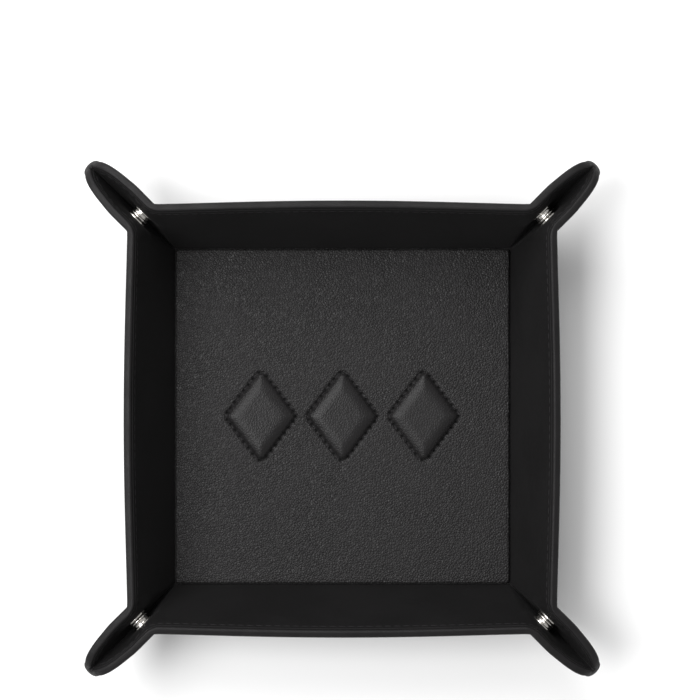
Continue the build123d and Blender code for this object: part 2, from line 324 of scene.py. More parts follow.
@dataclass(frozen=True)
class Leather(Finish):
    """Dyed leather with its grain, mottled dye, polished rim and painted shade in creases, holes and over
    padding.
    """

    pebbles_per_metre: float = 2600.0
    grain_height: float = 0.00005
    rim_gloss: float = 0.12
    sheen: float = 0.04
    sheen_roughness: float = 0.4
    specular: float = 0.25
    mottle_shades: tuple[float, float] = (0.88, 1.12)
    mottle_roughness: tuple[float, float] = (-0.03, 0.04)
    # Painted shade in the grain's creases between the pebbles.
    crease_painted_shade_share: float = 0.5
    crease_painted_shade: float = 0.55
    # Painted shade over the taut padding, where the smoother leather would otherwise look brighter than
    # the grained field.
    taut_painted_shade_share: float = 0.6
    taut_painted_shade: float = 0.6
    worn_share: float = 0.6
    worn_shade: float = 1.7
    # Painted shade in the needle holes.
    hole_painted_shade: float = 0.05
    hole_roughness: float = 0.5

    def dress(self, tree: NodeTree, shader: bpy.types.Node) -> None:
        """Adds the finish's nodes to its material.

        Args:
            tree: the material's node tree.
            shader: its Principled BSDF.
        """
        place = tree.add("TexCoord").outputs["Object"]
        taut_and_painted_shade, rim, hole = tree.mark("taut_and_painted_shade"), tree.mark("rim"), tree.mark("hole")
        inputs = {"Position": place, "Pebbles per Metre": self.pebbles_per_metre, "Softness": taut_and_painted_shade}
        grain = tree.add("Group", inputs, node_tree=GROUPS.grain)
        inputs = {"Position": place, "Rim": rim, "Amount": 1.0}
        wear = tree.add("Group", inputs, node_tree=GROUPS.edge_wear).outputs["Mask"]
        mottle = grain.outputs["Mottle"]
        color = tree.tint(mottle, *(self.shade(share) for share in self.mottle_shades))
        for mask, share, shade in (
            # Painted shade in the grain's creases.
            (grain.outputs["Creases"], self.crease_painted_shade_share, self.crease_painted_shade),
            # Painted shade over the taut padding.
            (taut_and_painted_shade, self.taut_painted_shade_share, self.taut_painted_shade),
            (wear, self.worn_share, self.worn_shade),
            # Painted shade in the needle holes.
            (hole, 1.0, self.hole_painted_shade),
        ):
            color = tree.tint(tree.math("MULTIPLY", mask, share), color, self.shade(shade))
        rough = tree.ramp(mottle, 0.0, 1.0, *(self.roughness + change for change in self.mottle_roughness))
        rough = tree.math("SUBTRACT", rough, tree.math("MULTIPLY", wear, self.rim_gloss))
        rough = tree.math("ADD", rough, tree.math("MULTIPLY", hole, self.hole_roughness))
        tree.surface(shader, color, rough, grain.outputs["Height"], self.grain_height, 1.0)
        shader.inputs["Sheen Weight"].default_value = self.sheen
        shader.inputs["Sheen Roughness"].default_value = self.sheen_roughness
        shader.inputs["Specular IOR Level"].default_value = self.specular


@dataclass(frozen=True)
class Metal(Finish):
    """Polished plating with faint turning marks and handling smears."""

    smear_noise: tuple[float, float] = (420.0, 4.0)
    mark_noise: tuple[float, float] = (5200.0, 2.0)
    mark_height: float = 0.000004
    mark_strength: float = 0.5
    smear_band: tuple[float, float] = (0.3, 0.75)
    smear_gloss: tuple[float, float] = (0.7, 1.6)
    tarnish_band: tuple[float, float] = (0.45, 0.8)
    tarnish_shade: float = 0.82

    def dress(self, tree: NodeTree, shader: bpy.types.Node) -> None:
        """Adds the finish's nodes to its material.

        Args:
            tree: the material's node tree.
            shader: its Principled BSDF.
        """
        place = tree.add("TexCoord").outputs["Object"]
        smears = tree.noise(place, *self.smear_noise).outputs["Fac"]
        marks = tree.noise(place, *self.mark_noise).outputs["Fac"]
        gloss = [self.roughness * share for share in self.smear_gloss]
        rough = tree.ramp(smears, *self.smear_band, *gloss)
        dull = tree.ramp(smears, *self.tarnish_band)
        color = tree.tint(dull, self.shade(1.0), self.shade(self.tarnish_shade))
        tree.surface(shader, color, rough, marks, self.mark_height, self.mark_strength)
        shader.inputs["Metallic"].default_value = 1.0


@dataclass(frozen=True)
class Thread(Finish):
    """Waxed sewing thread, with its twist: painted shade in its grooves and a painted highlight on its
    ridges.
    """

    twists_per_metre: float = 1500.0
    specular: float = 0.18
    distortion: float = 1.5
    # Painted shade in the twist's grooves and painted highlight on its ridges.
    twist_painted_shades: tuple[float, float] = (0.6, 1.3)
    twist_height: float = 0.00006
    twist_strength: float = 0.6
    valley_roughness: float = 0.1

    def dress(self, tree: NodeTree, shader: bpy.types.Node) -> None:
        """Adds the finish's nodes to its material.

        Args:
            tree: the material's node tree.
            shader: its Principled BSDF.
        """
        place = tree.add("TexCoord").outputs["Object"]
        inputs = {"Vector": place, "Scale": self.twists_per_metre, "Distortion": self.distortion}
        twist = tree.add("TexWave", inputs, bands_direction="DIAGONAL").outputs["Fac"]
        # Painted shade in the grooves and painted highlight on the ridges of the twist.
        color = tree.tint(twist, *(self.shade(share) for share in self.twist_painted_shades))
        rough = tree.ramp(twist, 0.0, 1.0, self.roughness + self.valley_roughness, self.roughness)
        tree.surface(shader, color, rough, twist, self.twist_height, self.twist_strength)
        shader.inputs["Specular IOR Level"].default_value = self.specular


@dataclass(frozen=True)
class Fibre(Finish):
    """Pressed board or foam, a matt fibrous material inside the leathers."""

    fibres_per_metre: float = 900.0
    fibre_detail: float = 6.0
    fibre_band: tuple[float, float] = (0.3, 0.7)
    fibre_shades: tuple[float, float] = (0.75, 1.2)
    fibre_height: float = 0.0001
    fibre_strength: float = 0.6
    rough_band: tuple[float, float] = (0.2, 0.8)
    rough_spread: float = 0.05

    def dress(self, tree: NodeTree, shader: bpy.types.Node) -> None:
        """Adds the finish's nodes to its material.

        Args:
            tree: the material's node tree.
            shader: its Principled BSDF.
        """
        place = tree.add("TexCoord").outputs["Object"]
        fibres = tree.noise(place, self.fibres_per_metre, self.fibre_detail).outputs["Fac"]
        shades = [self.shade(share) for share in self.fibre_shades]
        color = tree.tint(tree.ramp(fibres, *self.fibre_band), *shades)
        spread = (self.roughness - self.rough_spread, self.roughness + self.rough_spread)
        rough = tree.ramp(fibres, *self.rough_band, *spread)
        tree.surface(shader, color, rough, fibres, self.fibre_height, self.fibre_strength)


OUTER_LEATHER = Leather(
    "smooth_calf", Slot.OUTER, (0.0080, 0.0075, 0.0078), 0.46, sheen=0.03, specular=0.16,
)
LINING_LEATHER = Leather(
    "matt_lining_calf", Slot.LINING, (0.0060, 0.0056, 0.0058), 0.62,
    rim_gloss=0.0, sheen=0.02, specular=0.17,
)
GRAINED_LEATHER = Leather(
    "pebble_grained_leather", Slot.GRAINED, (0.0122, 0.0114, 0.0118), 0.38,
    pebbles_per_metre=880.0, grain_height=0.00024, specular=0.23,
)
BLACK_THREAD = Thread("waxed_black_thread", Slot.OUTER, (0.015, 0.014, 0.015), 0.6)
NICKEL = Metal("polished_nickel", Slot.METAL, (0.60, 0.58, 0.55), 0.16)
PRESSED_BOARD = Fibre("pressed_board", Slot.BOARD, (0.35, 0.30, 0.24), 0.85)
DENSE_FOAM = Fibre("dense_foam", Slot.FOAM, (0.12, 0.12, 0.12), 0.9, fibres_per_metre=2500.0)


@dataclass(frozen=True)
class Folds:
    """The flat sheet and its creases, in one wall's own frame.

    X runs along the floor crease towards the ear at the wall's right hand, Y up the wall and Z
    into the tray. Depth is measured from the inner face outwards.
    """

    half_floor: float
    thickness: float
    wall_angle: float
    ear_angle: float
    pinch_start: float
    tilt: float
    slant: float = 50.0
    corner_radius: float = 13.5
    fold_radius: float = 0.8
    bend_radius: float = 12.0
    bow: float = 1.9
    bow_flatness: float = 1.5
    bow_rise: float = 1.2
    slide: float = 1.6
    slide_reach: float = 13.0
    flare: float = 2.2
    flare_reach: float = 14.0
    flare_width: float = 12.5
    flare_onset: float = 5.0
    tongue_inset: float = 0.3
    belly_start: float = 26.0
    belly_rise: float = 22.0
    cut: float = 5.0
    near: float = 5.0
    snap_from_corner: float = 38.3
    snap_from_fold: float = 15.0
    snap_pressed: float = 5.7
    snap_faded: float = 13.0

    @classmethod
    def from_frame(cls) -> "Folds":
        """The folds whose creases are the frame's joints.

        Returns:
            The folds, with the default sizes of the leather.
        """
        wall, ear = joint("front_wall_fold"), joint("front_wall_left_ear_fold")
        half_floor = -wall["pos_m"][1] / MM
        return cls(
            half_floor=half_floor,
            thickness=wall["pos_m"][2] / MM,
            wall_angle=radians(wall["range_deg"][1]),
            ear_angle=radians(ear["range_deg"][1]),
            pinch_start=half_floor + ear["pos_m"][0] / MM,
            tilt=asin(abs(ear["axis"][0])),
        )

    @cached_property
    def tip_centre(self) -> Vector:
        """Where the arc of the ear's tip is centred on the flat sheet."""
        middle = self.slant - self.corner_radius
        return Vector((self.half_floor + middle, middle, 0))

    @cached_property
    def aside(self) -> Vector:
        """The normal of the corner's diagonal plane, towards this wall's half of the ear."""
        outwards = Vector((0, cos(self.wall_angle), -sin(self.wall_angle)))
        return (outwards - Vector((1, 0, 0))) / sqrt(2)

    @cached_property
    def pinch_foot(self) -> Vector:
        """Where the pinch crease meets the floor crease."""
        return Vector((self.half_floor - self.pinch_start, 0, 0))

    @cached_property
    def pinch_along(self) -> Vector:
        """The direction of the pinch crease."""
        return Vector((sin(self.tilt), cos(self.tilt), 0))

    @cached_property
    def pinch_across(self) -> Vector:
        """The direction on the wall that is square to the pinch crease, towards the ear."""
        return Vector((cos(self.tilt), -sin(self.tilt), 0))

    @cached_property
    def ear_turn(self) -> Matrix:
        """How an ear half is turned from its wall."""
        return Matrix.Rotation(self.ear_angle, 3, self.pinch_along)

    @cached_property
    def keel_turn(self) -> float:
        """The angle through which an ear half bends to meet the other half at the keel."""
        across = self.ear_turn @ ACROSS_FOLD
        return acos(-across.dot(self.aside))

    @cached_property
    def strip(self) -> float:
        """The width on the flat sheet that one half gives to the keel's bend."""
        return self.fold_radius * self.keel_turn

    @cached_property
    def foot(self) -> Vector:
        """Where the pinch crease meets the line along which the keel's bend begins."""
        height = (self.strip * sqrt(2) - self.pinch_start) / (1 - tan(self.tilt))
        return Vector((self.pinch_x(height), height, 0))

    @cached_property
    def keel_reach(self) -> tuple[float, float]:
        """How far along the fold the keel starts, and where its tip's arc is centred."""
        start = (self.foot.x - self.half_floor + self.foot.y) / sqrt(2)
        return start, self.tip_centre.y * sqrt(2)

    @cached_property
    def seat(self) -> Vector:
        """The middle of the snap on the ear's inner face."""
        along = sqrt(self.snap_from_corner**2 - self.snap_from_fold**2)
        return self.on_ear(self.on_fold(along, self.snap_from_fold))

    @cached_property
    def leaf_thickness(self) -> float:
        """The ear's thickness along the snap's axis."""
        return self.thickness / sin(self.keel_turn)

    def pinch_x(self, y: float) -> float:
        """Where the pinch crease stands at a height up the wall."""
        return self.half_floor - self.pinch_start + y * tan(self.tilt)

    def wall_half(self, y: float) -> float:
        """How far the wall's own leather reaches from its middle at a height."""
        return self.pinch_x(y) - self.cut / cos(self.tilt)

    def on_fold(self, along: float, beside: float) -> Vector:
        """A flat point by its distances along the diagonal fold and beside it."""
        return Vector((self.half_floor + (along - beside) / sqrt(2), (along + beside) / sqrt(2), 0))

    def on_ear(self, flat: Vector) -> Vector:
        """A point of the wall's frame after the ear's turn about the pinch crease."""
        return self.pinch_foot + self.ear_turn @ (flat - self.pinch_foot)

    def bulge(self, x: float, y: float) -> float:
        """How far the wall bows outwards at a place.

        Args:
            x: the distance along the wall from its middle.
            y: the height up the wall.

        Returns:
            The distance, square to the wall.
        """
        share = min(abs(x) / self.pinch_x(y), 1.0)
        rise = (max(y, 0.0) / self.slant) ** self.bow_rise
        return self.bow * (1 - share**2) ** self.bow_flatness * rise

    def belly(self, y: float) -> float:
        """How strongly a height up the wall takes part in the ear's belly."""
        return smooth((y - self.belly_start) / self.belly_rise)

    def drawn(self, across: float, y: float) -> float:
        """How far the leather about the pinch crease is drawn along the wall, to its middle."""
        return self.slide * self.belly(y) * (1 - smooth(abs(across) / self.slide_reach))

    def on_wall(self, x: float, y: float, depth: float) -> Vector:
        """A point of the wall, which bows a little.

        Args:
            x: the distance along the wall from its middle.
            y: the height up the wall.
            depth: how far below the inner face the point lies.

        Returns:
            The point, in the wall's frame.
        """
        across = (abs(x) - self.pinch_x(y)) * cos(self.tilt)
        drawn = self.drawn(across, y) * (1 if x > 0 else -1)
        return Vector((x - drawn, y, -depth - self.bulge(x, y)))

    def flared(self, x: float, y: float, across: float) -> float:
        """How far an ear half bellies out from its own plane, near the rim.

        Args:
            x: the distance along the wall from its middle.
            y: the height up the wall.
            across: the flat distance from the pinch crease.

        Returns:
            The distance, square to the corner's diagonal plane.
        """
        beside = (y - (x - self.half_floor)) / sqrt(2) - self.strip
        share = min(max(beside / self.flare_width, 0.0), 1.0)
        round_end = sin(pi / 2 * share) * smooth(share * self.flare_onset)
        return self.flare * self.belly(y) * round_end * smooth(across / self.flare_reach)

    def bent(self, across: float, depth: float, radius: float) -> Vector:
        """A point of the pinch crease's section.

        The inner face bends with a radius. Towards the outer face the radius shrinks to nothing,
        so the outer faces meet in a sharp notch.

        Args:
            across: the flat distance from the crease, positive on the ear.
            depth: how far below the inner face the point lies.
            radius: the inner face's radius.

        Returns:
            The point's offset from the crease, in the wall's frame.
        """
        half_tan = tan(self.ear_angle / 2)
        reach = max(radius, self.thickness) * half_tan
        radius *= 1 - depth / self.thickness
        level = reach - (depth + radius) * half_tan
        length = 2 * level + radius * self.ear_angle
        run = (across + reach) / (2 * reach) * length
        if across <= -reach or (across < reach and run <= level):
            where = across if across <= -reach else run - reach
            return self.pinch_across * where - UP * depth
        if across >= reach or run >= length - level:
            where = across if across >= reach else reach - (length - run)
            return self.ear_turn @ (self.pinch_across * where - UP * depth)
        turn = (run - level) / radius
        side = radius * sin(turn) - (depth + radius) * half_tan
        return self.pinch_across * side + UP * (radius * cos(turn) - depth - radius)

    def folded(self, x: float, y: float, depth: float) -> Vector:
        """A point of the sheet near or past the pinch crease.

        The crease's radius grows from nothing at the floor to its full size at the rim.

        Args:
            x: the distance along the wall from its middle.
            y: the height up the wall.
            depth: how far below the inner face the point lies.

        Returns:
            The point, in the wall's frame.
        """
        offset = Vector((x, y, 0)) - self.pinch_foot
        along, across = offset.dot(self.pinch_along), offset.dot(self.pinch_across)
        point = self.bent(across, depth, self.bend_radius * max(along, 0.0) / self.slant)
        if across < 0:
            point -= UP * self.bulge(x, y)
        else:
            point += self.aside * self.flared(x, y, across)
        point.x -= self.drawn(across, y)
        return self.pinch_foot + self.pinch_along * along + point

    def pressed(self, x: float, y: float, depth: float) -> Vector:
        """A point of the ear, drawn flat against the snap where the snap clamps it.

        Args:
            x: the distance along the wall from its middle.
            y: the height up the wall.
            depth: how far below the inner face the point lies.

        Returns:
            The point, in the wall's frame.
        """
        face, point = self.folded(x, y, 0), self.folded(x, y, depth)
        on_ear = smooth(1 + (x - self.pinch_x(y)) * cos(self.tilt) / self.cut)
        offset = face - self.seat
        apart = offset.dot(self.aside)
        beside = (offset - self.aside * apart).length
        share = smooth((self.snap_faded - beside) / (self.snap_faded - self.snap_pressed))
        return point - self.aside * (apart * share * on_ear)

    def rim(self, station: float, inset: float) -> Vector:
        """A flat point along the rim of a corner's leather.

        Args:
            station: -1 at the cut on the wall, 0 at the pinch crease, 1 near it on the ear, 2
                where the tip's arc begins, 3 where the keel's bend begins and 4 on the fold.
            inset: how far inside the rim the point lies.

        Returns:
            The point on the flat sheet.
        """
        y = self.slant - inset
        pinch, centre = self.pinch_x(y), self.tip_centre.x
        if station <= 0:
            return Vector((pinch + station * self.cut / cos(self.tilt), y, 0))
        if station <= 1:
            return Vector((pinch + station * self.near, y, 0))
        if station <= 2:
            return Vector((pinch + self.near + (station - 1) * (centre - pinch - self.near), y, 0))
        radius = self.corner_radius - inset
        if station <= 3:
            end = pi / 4 + asin(self.strip / radius)
            angle = pi / 2 + (station - 2) * (end - pi / 2)
        else:
            radius -= self.tongue_inset * (station - 3)
            angle = pi / 4 + asin(self.strip * (4 - station) / radius)
        return self.tip_centre + Vector((cos(angle), sin(angle), 0)) * radius

    def corner_flat(self, station: float, climb: float, inset: float) -> Vector:
        """A flat point of a corner's leather, at a share of the way from its foot to the rim.

        Args:
            station: the place along the rim, as in rim.
            climb: the share of the way from the foot to the rim.
            inset: how far inside the rim the top of that way lies.

        Returns:
            The point on the flat sheet.
        """
        top = self.rim(station, inset)
        foot = self.foot.copy()
        if station < 0:
            foot.x += station * self.cut / cos(self.tilt)
        elif station > 3:
            foot += Vector((1, -1, 0)) * ((station - 3) * self.strip / sqrt(2))
        return foot.lerp(top, climb)

    def keel(self, share: float, climb: float, inset: float, depth: float) -> Vector:
        """A point of the bend between an ear's halves, from this half's edge to the keel.

        Args:
            share: the share of the bend, which ends on the keel.
            climb: the share of the way from the foot to the tip.
            inset: how far inside the rim the top of that way lies.
            depth: how far below the inner face the point lies.

        Returns:
            The point, in the wall's frame.
        """
        start, centre = self.keel_reach
        beside = self.strip * (1 - share)
        tip = centre + sqrt((self.corner_radius - inset) ** 2 - beside**2)
        edge = self.on_ear(self.on_fold(start + climb * (tip - start), self.strip))
        turn, radius = self.keel_turn * share, self.fold_radius + depth
        across = ACROSS_FOLD * (radius * sin(turn))
        return edge + self.ear_turn @ (across + UP * (self.fold_radius - radius * cos(turn)))


FOLDS = Folds.from_frame()


@dataclass(frozen=True)
class Side:
    """One side of the tray: its names, and how a point of its wall's frame is put in place."""

    number: int

    NAMES = ("front", "right", "back", "left")

    @property
    def name(self) -> str:
        """The side's name."""
        return self.NAMES[self.number]

    def neighbour(self, hand: Hand) -> str:
        """The name of the side that the wall meets at that hand."""
        return self.NAMES[(self.number - hand.value) % len(self.NAMES)]

    def ear(self, hand: Hand) -> str:
        """The body of the wall's ear half at that hand."""
        return f"{self.name}_wall_{self.neighbour(hand)}_ear"

    def corner(self, hand: Hand) -> str:
        """The name of the corner at that hand."""
        first, second = self.name, self.neighbour(hand)
        return f"{first}_{second}" if self.carries_cap else f"{second}_{first}"

    @property
    def carries_cap(self) -> bool:
        """Whether the side's ear halves carry the snaps' caps and sockets."""
        return self.name in ("front", "back")

    @cached_property
    def outwards(self) -> Vector:
        """The direction in which the wall faces the world."""
        return Matrix.Rotation(self.number * pi / 2, 3, "Z") @ Vector((0, -1, 0))

    @cached_property
    def rise(self) -> Vector:
        """The direction up the wall."""
        return self.outwards * cos(FOLDS.wall_angle) + UP * sin(FOLDS.wall_angle)

    @cached_property
    def basis(self) -> Matrix:
        """The turn from the wall's frame to the tray's."""
        along = self.outwards.cross(UP)
        return Matrix((along, self.rise, along.cross(self.rise))).transposed()

    @cached_property
    def origin(self) -> Vector:
        """The middle of the floor crease, on the inner face."""
        return self.outwards * FOLDS.half_floor + UP * FOLDS.thickness

    def aim(self, local: Vector, hand: Hand = Hand.RIGHT) -> Vector:
        """A direction of the wall's frame, in the tray's."""
        return self.basis @ Vector((local.x * hand.value, local.y, local.z))

    def put(self, local: Vector, hand: Hand = Hand.RIGHT) -> Vector:
        """A point of the wall's frame, in its place in metres."""
        return (self.origin + self.aim(local, hand)) * MM


SIDES = [Side(number) for number in range(len(Side.NAMES))]


@dataclass(frozen=True)
class Station:
    """A point of a leather's section: its share of the height, its inset, depth and wear."""

    climb: float
    inset: float
    depth: float
    rim: float = 0.0


@dataclass(frozen=True)
class Section:
    """The section of a leather from its foot, over its rounded rim and down its back."""

    face: float
    back: float
    edge: float
    rounding: float
    seam: float = 4.3
    face_groove: float = 0.0
    back_groove: float = 0.0
    margin: float = 9.0
    rises: int = 14
    seam_rows: int = 12
    arc_rows: int = 6
    groove_width: float = 0.55

    def groove(self, inset: float, depth: float) -> float:
        """How deep the stitches draw the leather in at an inset."""
        return depth * exp(-(((inset - self.seam) / self.groove_width) ** 2))

    def path(self) -> list[Station]:
        """The section's points, as a closed path.

        Returns:
            The points, the last of which is the first again.
        """
        inner = self.edge + self.rounding
        up = [Station(step / self.rises, self.margin, self.face) for step in range(self.rises + 1)]
        down = [Station(point.climb, self.margin, self.back) for point in reversed(up)]
        seam_up, seam_down, over, under = [], [], [], []
        for step in range(1, self.seam_rows):
            inset = self.margin + (inner - self.margin) * step / self.seam_rows
            face = self.face + self.groove(inset, self.face_groove)
            back = self.back - self.groove(inset, self.back_groove)
            seam_up.append(Station(1, inset, face))
            seam_down.insert(0, Station(1, inset, back))
        for step in range(self.arc_rows + 1):
            turn = pi / 2 * step / self.arc_rows
            out, drop = sin(turn), 1 - cos(turn)
            over.append(Station(1, inner - self.rounding * out, self.face + self.rounding * drop, out))
            under.insert(0, Station(1, inner - self.rounding * out, self.back - self.rounding * drop, out))
        return up + seam_up + over + under + seam_down + down + up[:1]


LEATHER_SECTION = Section(face=0.0, back=4.0, edge=0.0, rounding=1.25, back_groove=0.16)
LINING_SECTION = Section(face=-0.3, back=0.5, edge=2.0, rounding=0.35, face_groove=0.16, arc_rows=3)


Placing = Callable[[float, Station], Vector]


def add_object(name: str, data: bpy.types.ID) -> bpy.types.Object:
    """Adds an object to the scene.

    Args:
        name: what it is called.
        data: its mesh, light or camera.

    Returns:
        The object.
    """
    added = bpy.data.objects.new(name, data)
    bpy.context.scene.collection.objects.link(added)
    return added


def as_object(bm: bmesh.types.BMesh, name: str, material: bpy.types.Material) -> bpy.types.Object:
    """Makes a mesh into an object of one material.

    Args:
        bm: the mesh, which is freed.
        name: what the object is called.
        material: its material.

    Returns:
        The object.
    """
    mesh = bpy.data.meshes.new(name)
    bm.to_mesh(mesh)
    bm.free()
    mesh.materials.append(material)
    return add_object(name, mesh)


def as_piece(bm: bmesh.types.BMesh, name: str, finish: Finish) -> bpy.types.Object:
    """Makes a mesh into a dressed piece.

    Args:
        bm: the mesh, in metres in its place, which is freed.
        name: what the piece is called.
        finish: its surface finish.

    Returns:
        The piece's object.
    """
    bmesh.ops.recalc_face_normals(bm, faces=bm.faces)
    for face in bm.faces:
        face.smooth = True
    for edge in bm.edges:
        if len(edge.link_faces) == 2 and edge.calc_face_angle(0.0) > SHARP_EDGE:
            edge.smooth = False
    piece = as_object(bm, name, finish.material())
    return piece


def wrap(
    name: str, columns: int, path: Sequence[Station], place: Placing, finish: Finish
) -> bpy.types.Object:
    """Wraps a grid round a leather's section and along the piece, and closes its ends.

    Args:
        name: what the piece is called.
        columns: how many faces the piece has along its length.
        path: the section's points, whose last is its first.
        place: where a share of the length and a point of the section come to lie, in metres.
        finish: the piece's surface finish.

    Returns:
        The piece's object.
    """
    bm = bmesh.new()
    rows, half = len(path) - 1, 0.5
    bmesh.ops.create_grid(bm, x_segments=columns, y_segments=rows, size=half)
    for end in (-half, half):
        ring = [vert for vert in bm.verts if abs(vert.co.x - end) < MERGE]
        ring.sort(key=lambda vert: vert.co.y)
        for low in range(rows // 2 - 1):
            high = rows - 1 - low
            bm.faces.new((ring[low], ring[low + 1], ring[high - 1], ring[high]))
    rim = bm.verts.layers.float.new("rim")
    for vert in bm.verts:
        station = path[round((vert.co.y + half) * rows)]
        vert[rim] = station.rim
        vert.co = place(vert.co.x + half, station)
    bmesh.ops.remove_doubles(bm, verts=bm.verts, dist=MERGE)
    return as_piece(bm, name, finish)


def sew(bm: bmesh.types.BMesh, first: Vector, last: Vector, radius: float) -> None:
    """Adds one stitch between two points, in metres, to a mesh.

    Args:
        bm: the mesh.
        first: where the stitch starts.
        last: where it ends.
        radius: the thread's radius.
    """
    run = last - first
    turn = run.to_track_quat("Z", "Y").to_matrix().to_4x4()
    size = Matrix.Diagonal((radius, radius, run.length / 2, 1))
    matrix = Matrix.Translation((first + last) / 2) @ turn @ size
    bmesh.ops.create_uvsphere(
        bm, u_segments=STITCH_SEGMENTS, v_segments=STITCH_RINGS, radius=1, matrix=matrix
    )


@dataclass(frozen=True)
class RimStitching:
    """The line of stitches that runs below the rim, on both faces of the leather."""

    inset: float = LEATHER_SECTION.seam
    pitch: float = 4.4
    length: float = 3.5
    radius: float = 0.27
    face_depth: float = -0.17
    back_depth: float = 3.92

    @property
    def height(self) -> float:
        """How far up the wall the line runs."""
        return FOLDS.slant - self.inset

    @property
    def on_wall(self) -> int:
        """The number of the wall's last stitch, counted from its middle."""
        return int(FOLDS.wall_half(self.height) // self.pitch)

    @property
    def at_tip(self) -> int:
        """The number of the last stitch before the fold at the ear's tip.

        Returns:
            The number, counted from the wall's middle.
        """
        radius = FOLDS.corner_radius - self.inset
        end = FOLDS.tip_centre.x + radius * (pi / 4 - asin(FOLDS.strip / radius))
        return ceil((end - self.length / 2) / self.pitch) - 1

    def wall_point(self, distance: float, depth: float) -> Vector:
        """A point on the wall's line of stitches, a distance from its middle."""
        return FOLDS.on_wall(distance, self.height, depth)

    def corner_point(self, distance: float, depth: float) -> Vector:
        """A point on a corner's line of stitches, a distance from the wall's middle.

        Args:
            distance: the distance along the line from the wall's middle.
            depth: how far below the inner face the point lies.

        Returns:
            The point, in the wall's frame.
        """
        centre, radius = FOLDS.tip_centre, FOLDS.corner_radius - self.inset
        if distance <= centre.x:
            return FOLDS.pressed(distance, self.height, depth)
        angle = pi / 2 - (distance - centre.x) / radius
        return FOLDS.pressed(centre.x + radius * cos(angle), centre.y + radius * sin(angle), depth)

    def sew(
        self, side: Side, hand: Hand, numbers: range, point: Callable[[float, float], Vector]
    ) -> bmesh.types.BMesh:
        """Sews a line of stitches on both faces.

        Args:
            side: the tray's side.
            hand: the end of the wall.
            numbers: the stitches, counted from the wall's middle.
            point: where a distance along the line and a depth come to lie.

        Returns:
            The mesh of the stitches, in metres in its place.
        """
        bm = bmesh.new()
        for depth in (self.face_depth, self.back_depth):
            for number in numbers:
                middle = number * self.pitch
                span = (middle - self.length / 2, middle + self.length / 2)
                sew(bm, *(side.put(point(distance, depth), hand) for distance in span), self.radius * MM)
        return bm

    def sew_wall(self, side: Side) -> bpy.types.Object:
        """The stitches of one wall."""
        bm = self.sew(side, Hand.RIGHT, range(-self.on_wall, self.on_wall + 1), self.wall_point)
        return as_piece(bm, f"{side.name}_wall_stitching", BLACK_THREAD)

    def sew_corner(self, side: Side, hand: Hand) -> bpy.types.Object:
        """The stitches of one ear half and of the end of its wall."""
        bm = self.sew(side, hand, range(self.on_wall + 1, self.at_tip + 1), self.corner_point)
        return as_piece(bm, f"{side.ear(hand)}_stitching", BLACK_THREAD)


